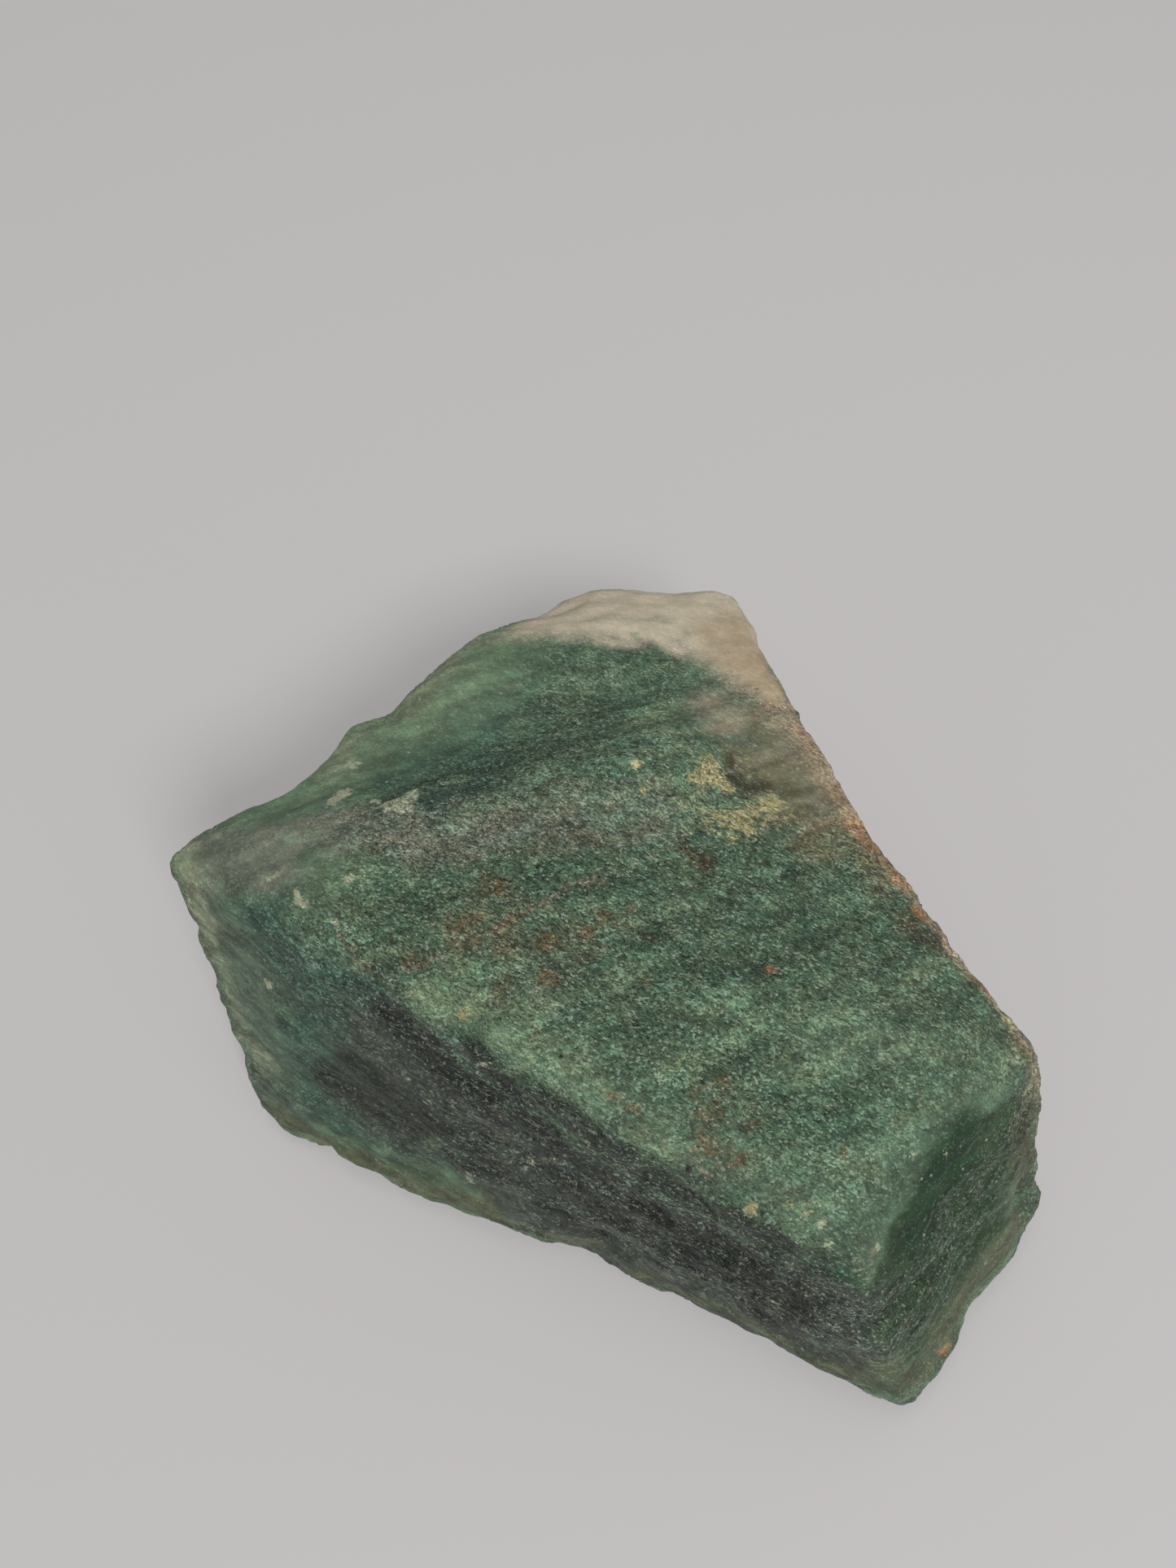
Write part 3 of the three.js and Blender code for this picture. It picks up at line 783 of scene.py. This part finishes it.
def coverOf(piece, marks):
    places = readVertices(piece, "co")
    cover = np.zeros(len(places))
    for radius, strength, pixels in marks:
        line = [placeAt(piece, pixel) for pixel in pixels]
        reach = np.clip(1 - strokeDistance(places, line) / (strokeReach * radius), 0, 1)
        cover = np.maximum(cover, strength * reach)
    return cover


def paintStone(piece):
    steep = np.empty(len(piece.data.vertices), dtype=np.float32)
    piece.data.attributes["side"].data.foreach_get("value", steep)
    steep = ramp(steep, *stoneLook["steep"])
    for zone, marks in strokes.items():
        cover = coverOf(piece, marks)
        if zone in stoneLook["onSides"]:
            cover = cover * steep
        if zone in stoneLook["onTop"]:
            cover = cover * (1 - steep)
        addValues(piece, zone, cover)
    print("stone: painted with", len(strokes), "zones")


def shapeStone():
    piece = copyNode("stone", "rawAventurine")
    remesh = piece.modifiers.new("fine", "REMESH")
    remesh.mode = "VOXEL"
    remesh.voxel_size = stoneShape["voxel"] * mm
    applyModifier(piece, remesh)
    smoothPiece(piece, stoneShape["soften"])
    easeForms(piece)
    nudgeOutline(piece)
    weighSides(piece)
    breakSurface(piece)
    for vertex in piece.data.vertices:
        vertex.co.z = max(vertex.co.z, 0.0)                     # nothing reaches below the resting plane
    selectOnly(piece)
    bpy.ops.object.shade_smooth()
    print("stone: shaped,", len(piece.data.polygons), "faces")
    return piece


stoneLook = {
    "base": (0.082, 0.136, 0.080),
    "onSides": ("coalAndShade", "smokeAndShade", "silk", "mist", "footingAndGlow"),
    "onTop": ("dusk", "frostAndSheen"),
    "steep": (0.2, 0.6),    # share of side at which a spot starts to take the sides' zones, and takes them
    "zones": [
        # zone, colour, how far the noise breaks its edge, where it starts and where it is full
        ("dusk", (0.050, 0.096, 0.054), 0.8, 0.15, 0.80),
        # light green, partly painted glow of thin rims and bevels
        ("mintAndGlow", (0.132, 0.200, 0.114), 0.7, 0.15, 0.90),
        ("mist", (0.078, 0.114, 0.076), 0.5, 0.10, 0.75),
        ("silk", (0.021, 0.049, 0.018), 0.5, 0.10, 0.60),
        # dark grey-green, partly painted shade of the front face
        ("smokeAndShade", (0.050, 0.064, 0.046), 0.6, 0.10, 0.60),
        # dark teal, partly painted shade in the trough and along the front edge
        ("deep", (0.042, 0.092, 0.060), 0.6, 0.15, 0.75),
        ("pine", (0.006, 0.031, 0.009), 0.8, 0.10, 0.85),
        # charcoal, partly painted shade of the front face
        ("coalAndShade", (0.011, 0.016, 0.009), 0.8, 0.12, 0.75),
        # near-black, partly painted shade along the top of the front face
        ("edge", (0.024, 0.036, 0.021), 0.7, 0.12, 0.75),
        # olive, partly painted glow at the foot
        ("footingAndGlow", (0.080, 0.096, 0.050), 0.7, 0.15, 0.80),
        ("umber", (0.130, 0.130, 0.070), 0.9, 0.20, 0.85),
        ("dust", (0.222, 0.210, 0.142), 0.9, 0.15, 0.90),
        # painted sheen: grey that stands for the light reflected along the crest
        ("paintedSheen", (0.132, 0.154, 0.110), 0.7, 0.15, 0.70),
        # pale bluish-grey, partly painted sheen along the crest
        ("frostAndSheen", (0.145, 0.195, 0.122), 0.9, 0.20, 0.90),
        # pale beige-green, partly painted glow of the thin rims
        ("strawAndGlow", (0.190, 0.225, 0.140), 0.5, 0.15, 0.90),
        ("bark", (0.050, 0.050, 0.024), 0.8, 0.25, 0.85),
        ("tan", (0.310, 0.240, 0.148), 0.5, 0.20, 0.80),
        ("iron", (0.270, 0.160, 0.070), 1.2, 0.30, 1.00),
    ],
    "quartz": (0.510, 0.455, 0.335),
    "quartzWarm": (0.430, 0.345, 0.225),
    "quartzEdge": (0.6, 0.05, 0.92),      # how far the noise breaks it, where it starts and is full
    "quartzWarmth": (0.8, -0.2, 0.9),     # the same for its warm part
    "stains": [
        # zone, colour, how far the specks break its edge, where it starts and where it is full
        ("vein", (0.200, 0.175, 0.115), 3.2, 0.45, 1.20),
        ("rust", (0.128, 0.070, 0.026), 2.0, 0.30, 1.10),
        ("ochre", (0.365, 0.335, 0.165), 1.6, 0.35, 0.80),
        ("chalk", (0.310, 0.340, 0.225), 1.5, 0.36, 0.66),
    ],
    "veinShare": 0.7,
    # painted shade inside small pits
    "pitShade": (0.016, 0.014, 0.010),
    "thread": (0.140, 0.165, 0.132),
    # pale colour of the painted glints on the grains and of the pale dots
    "glintColour": (0.325, 0.370, 0.325),
    "warm": (1.12, 0.985, 0.95),    # what the hue drifts between
    "cool": (0.90, 1.01, 1.03),
    "noises": {
        # name: turn, size along, across and up in mm, detail, roughness, warp
        "broad": (waveTurn, (16, 11, 9), 2, 0.5, 0.0),
        "bands": (waveTurn, (9, 2.2, 2.2), 3, 0.5, 0.0),
        "beds": (waveTurn, (7, 7, 0.9), 3, 0.6, 0.0),
        "edges": (waveTurn, (5, 2.0, 1.8), 5, 0.6, 0.0),
        "hues": (waveTurn, (3.2, 2.2, 1.6), 4, 0.6, 0.0),
        "blots": (grainTurn, (2.4, 1.5, 1.0), 3, 0.6, 0.0),
        "scuffs": (grainTurn, (1.3, 0.8, 0.6), 2, 0.45, 0.0),
        "specks": (grainTurn, (0.9, 0.55, 0.5), 3, 0.65, 0.0),
        "streaks": (grainTurn, (0.8, 0.22, 0.20), 2, 0.6, 0.0),
        "curls": (grainTurn, (0.56, 0.21, 0.20), 3, 0.65, 1.0),
        "threads": (grainTurn, (4.5, 0.35, 0.3), 3, 0.6, 0.0),
        "fibres": (grainTurn, (1.8, 0.24, 0.22), 3, 0.6, 0.5),
        "silks": (silkTurn, (4.5, 0.7, 0.6), 4, 0.65, 0.9),
    },
    "fades": {
        # name: where it starts, where it is full, and what it gives at both; a shade of 1 changes nothing
        "broad": (0.30, 0.70, 0.84, 1.18),
        "bands": (0.30, 0.70, 0.74, 1.28),
        "beds": (0.30, 0.70, 0.70, 1.30),             # they show on the sides alone
        "blots": (0.30, 0.70, 0.84, 1.18),
        "quartzBlots": (0.30, 0.70, 0.92, 1.06),
        "scuffs": (0.30, 0.70, 0.80, 1.20),
        "streaks": (0.30, 0.70, 0.86, 1.14),
        "curls": (0.32, 0.68, 0.42, 1.60),
        "grains": (0.0, 1.0, 0.62, 1.38),
        "hues": (0.34, 0.66, 0.0, 1.0),
        "huesIfCalm": (0.1, 0.9, 1.0, 0.35),
        "threads": (0.50, 0.72, 0.0, 1.0),
        "fibres": (0.52, 0.72, 0.0, 0.9),
        "silks": (0.50, 0.64, 0.0, 1.5),
        "silky": (0.1, 0.5, 0.0, 1.0),                # where silks take the place of threads
        "threadsOnSide": (0.4, 0.9, 0.0, 0.45),
        "threadsIfCalm": (0.2, 0.9, 1.0, 0.6),
        "rustPatches": (0.40, 0.58, 0.30, 0.85),
        "pitShade": (0.3, 0.7, 0.0, 1.0),
        "roughIfCalm": (0.1, 0.9, 1.0, 0.25),
        "roughIfQuartz": (0.2, 0.7, 1.0, 0.5),
        "flash": (1.07, 1.22, 0.0, 0.95),             # which grains get a painted glint
        "dotChance": (0.975, 0.98, 0.0, 1.0),         # how few cells hold a dot of painted glint
        "dotEdge": (0.35, 0.2, 0.0, 1.0),
        "gloss": (0.1, 0.9, 0.35, 0.0),               # how much less dull a grain is
    },
    "grain": (0.28, 0.20, 0.18),    # size of one sugar grain along, across and up, mm
    "flashGain": 2.8,               # how much lighter a painted glint is than its place
    "flashFleck": 0.48,             # how far it goes to the painted glint's colour
    "glintScuffs": 0.5,             # how far the scuffs gather the painted glints
    "dot": (0.9, 0.6, 0.5),         # cells of the pale dots, which are painted glints, mm
    "dotShare": 0.6,
    "bump": {"scuffs": 2.0, "streaks": 0.6, "grains": 0.6, "depth": 0.3},    # shares, and depth in mm
    "tilt": 0.7,                    # how far the grains' faces lean
    "dullest": 0.65,
    "specular": 0.35,
    "subsurface": 0.25,
    "glow": (0.5, 1.0, 0.65),
    "glowDepth": 4.0,               # mm
}


def addNode(tree, kind, values, **settings):
    made = tree.nodes.new("ShaderNode" + kind)
    for name, value in settings.items():
        setattr(made, name, value)
    for name, value in values.items():
        if isinstance(value, bpy.types.NodeSocket):
            tree.links.new(value, made.inputs[name])
        else:
            made.inputs[name].default_value = value
    return made


def blendColours(tree, share, first, second, kind="MIX"):
    colours = [(*colour, 1) if isinstance(colour, tuple) else colour for colour in (first, second)]
    values = {0: share, 6: colours[0], 7: colours[1]}           # the places of a colour mix's sockets
    return addNode(tree, "Mix", values, data_type="RGBA", blend_type=kind).outputs[2]


def calculate(tree, operation, first, second):
    return addNode(tree, "Math", {0: first, 1: second}, operation=operation).outputs[0]


def product(tree, first, *others):
    for value in others:
        first = calculate(tree, "MULTIPLY", first, value)
    return first


def fade(tree, value, low, high, lowest=0.0, highest=1.0):
    values = {"Value": value, "From Min": low, "From Max": high, "To Min": lowest, "To Max": highest}
    return addNode(tree, "MapRange", values, interpolation_type="SMOOTHSTEP").outputs[0]


def fadeBy(tree, name, value):
    return fade(tree, value, *stoneLook["fades"][name])


def darken(tree, colour, shade):
    grey = addNode(tree, "CombineColor", {"Red": shade, "Green": shade, "Blue": shade}).outputs[0]
    return blendColours(tree, 1.0, colour, grey, "MULTIPLY")


def partly(tree, share, shade):
    return calculate(tree, "ADD", 1.0, product(tree, share, calculate(tree, "SUBTRACT", shade, 1.0)))


def lay(tree, places, turn, stretch):
    values = {"Vector": places, "Rotation": turn.to_euler(), "Scale": Vector(stretch) * mm}
    return addNode(tree, "Mapping", values, vector_type="TEXTURE").outputs[0]


def addNoises(tree, places):
    noises = {}
    for name, (turn, stretch, detail, roughness, warp) in stoneLook["noises"].items():
        values = {"Vector": lay(tree, places, turn, stretch), "Scale": 1.0, "Detail": detail,
                  "Roughness": roughness, "Distortion": warp}
        noises[name] = addNode(tree, "TexNoise", values).outputs[0]
    return noises


def addCells(tree, places, stretch):
    cells = addNode(tree, "TexVoronoi", {"Vector": lay(tree, places, grainTurn, stretch), "Scale": 1.0})
    chance = addNode(tree, "SeparateColor", {"Color": cells.outputs["Color"]}).outputs
    return cells.outputs, chance


def zoneOf(tree, name):
    return addNode(tree, "Attribute", {}, attribute_name=name).outputs["Fac"]


def ragged(tree, name, noise, reach, start, full):
    shift = product(tree, calculate(tree, "SUBTRACT", noise, 0.5), reach)
    return fade(tree, calculate(tree, "ADD", zoneOf(tree, name), shift), start, full)


def mixGreens(tree, noises):
    colour = darken(tree, stoneLook["base"], fadeBy(tree, "broad", noises["broad"]))
    for name, tint, reach, start, full in stoneLook["zones"]:
        colour = blendColours(tree, ragged(tree, name, noises["edges"], reach, start, full), colour, tint)
    drift = blendColours(tree, fadeBy(tree, "hues", noises["hues"]), stoneLook["warm"], stoneLook["cool"])
    drifted = blendColours(tree, 1.0, colour, drift, "MULTIPLY")
    colour = blendColours(tree, fadeBy(tree, "huesIfCalm", zoneOf(tree, "calm")), colour, drifted)
    colour = darken(tree, colour, fadeBy(tree, "bands", noises["bands"]))
    colour = darken(tree, colour, fadeBy(tree, "blots", noises["blots"]))
    return darken(tree, colour, partly(tree, zoneOf(tree, "side"), fadeBy(tree, "beds", noises["beds"])))


def mixQuartz(tree, noises, colour):
    warmth = ragged(tree, "tan", noises["broad"], *stoneLook["quartzWarmth"])
    clear = blendColours(tree, warmth, stoneLook["quartz"], stoneLook["quartzWarm"])
    clear = darken(tree, clear, fadeBy(tree, "quartzBlots", noises["blots"]))
    share = ragged(tree, "quartz", noises["edges"], *stoneLook["quartzEdge"])
    return blendColours(tree, share, colour, clear)


def mixThreads(tree, noises, colour):
    threads, fibres, silks = (fadeBy(tree, name, noises[name]) for name in ("threads", "fibres", "silks"))
    silky = fadeBy(tree, "silky", zoneOf(tree, "silk"))
    plain = product(tree, calculate(tree, "ADD", threads, fibres), calculate(tree, "SUBTRACT", 1.0, silky))
    threads = calculate(tree, "ADD", plain, product(tree, silks, silky))
    threads = product(tree, threads, fadeBy(tree, "threadsOnSide", zoneOf(tree, "side")),
                      fadeBy(tree, "threadsIfCalm", zoneOf(tree, "calm")))
    return blendColours(tree, threads, colour, stoneLook["thread"])


def mixStains(tree, noises, colour):
    shares = {"vein": stoneLook["veinShare"], "rust": fadeBy(tree, "rustPatches", noises["edges"])}
    for name, tint, reach, start, full in stoneLook["stains"]:
        share = ragged(tree, name, noises["specks"], reach, start, full)
        if name in shares:
            share = product(tree, share, shares[name])
        colour = blendColours(tree, share, colour, tint)
    # the pits get painted shade
    return blendColours(tree, fadeBy(tree, "pitShade", zoneOf(tree, "pitShade")), colour, stoneLook["pitShade"])


# each grain is a little lighter or darker, less so where the break is smooth, and a few flash with a
# painted glint
def mixGrains(tree, noises, chance, rough, colour):
    shades = [fadeBy(tree, name, noises[name]) for name in ("scuffs", "streaks", "curls")]
    shade = product(tree, *shades, fadeBy(tree, "grains", chance[0]))
    bright = darken(tree, colour, stoneLook["flashGain"])
    bright = blendColours(tree, stoneLook["flashFleck"], bright, stoneLook["glintColour"])
    glint = calculate(tree, "ADD", chance[1], product(tree, noises["scuffs"], stoneLook["glintScuffs"]))
    flash = product(tree, fadeBy(tree, "flash", glint), rough)
    return blendColours(tree, flash, darken(tree, colour, partly(tree, rough, shade)), bright)


# pale dots: painted glints
def mixGlintDots(tree, places, colour):
    dots, chance = addCells(tree, places, stoneLook["dot"])
    spots = product(tree, fadeBy(tree, "dotChance", chance[0]), fadeBy(tree, "dotEdge", dots["Distance"]),
                    stoneLook["dotShare"])
    return blendColours(tree, spots, colour, stoneLook["glintColour"])


# the grains' faces lean each its own way, which makes the mica flash
def leanGrains(tree, noises, grains, rough):
    lean = addNode(tree, "VectorMath", {0: grains["Color"], 1: (0.5, 0.5, 0.5)}, operation="SUBTRACT")
    leanBy = {0: lean.outputs[0], "Scale": product(tree, rough, stoneLook["tilt"])}
    lean = addNode(tree, "VectorMath", leanBy, operation="SCALE")
    normal = addNode(tree, "NewGeometry", {}).outputs["Normal"]
    leaning = addNode(tree, "VectorMath", {0: normal, 1: lean.outputs[0]}, operation="ADD")
    leaning = addNode(tree, "VectorMath", {0: leaning.outputs[0]}, operation="NORMALIZE")
    bump = stoneLook["bump"]
    height = calculate(tree, "ADD", product(tree, noises["scuffs"], bump["scuffs"]),
                       product(tree, noises["streaks"], bump["streaks"]))
    height = calculate(tree, "SUBTRACT", height, product(tree, grains["Distance"], bump["grains"]))
    values = {"Strength": 1.0, "Distance": bump["depth"] * mm, "Height": product(tree, height, rough),
              "Normal": leaning.outputs[0]}
    return addNode(tree, "Bump", values).outputs[0]


def stoneMaterial():
    material = bpy.data.materials.new("brokenAventurine")
    material.use_nodes = True
    tree = material.node_tree
    shader = tree.nodes["Principled BSDF"].inputs
    places = addNode(tree, "TexCoord", {}).outputs["Object"]
    noises = addNoises(tree, places)
    grains, chance = addCells(tree, places, stoneLook["grain"])
    rough = product(tree, fadeBy(tree, "roughIfCalm", zoneOf(tree, "calm")),
                    fadeBy(tree, "roughIfQuartz", zoneOf(tree, "quartz")))

    colour = mixGreens(tree, noises)
    colour = mixQuartz(tree, noises, colour)
    colour = mixThreads(tree, noises, colour)
    colour = mixStains(tree, noises, colour)
    colour = mixGrains(tree, noises, chance, rough, colour)
    colour = mixGlintDots(tree, places, colour)
    tree.links.new(colour, shader["Base Color"])
    tree.links.new(leanGrains(tree, noises, grains, rough), shader["Normal"])
    gloss = product(tree, rough, fadeBy(tree, "gloss", chance[2]))
    tree.links.new(calculate(tree, "SUBTRACT", stoneLook["dullest"], gloss), shader["Roughness"])
    shader["Specular IOR Level"].default_value = stoneLook["specular"]
    shader["Subsurface Weight"].default_value = stoneLook["subsurface"]
    shader["Subsurface Radius"].default_value = stoneLook["glow"]
    shader["Subsurface Scale"].default_value = stoneLook["glowDepth"] * mm
    print("stone: material with", len(tree.nodes), "nodes")
    return material


addCamera()
addStudio()
stone = shapeStone()
paintStone(stone)
stone.data.materials.append(stoneMaterial())
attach(stone, "root")
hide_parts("stone")
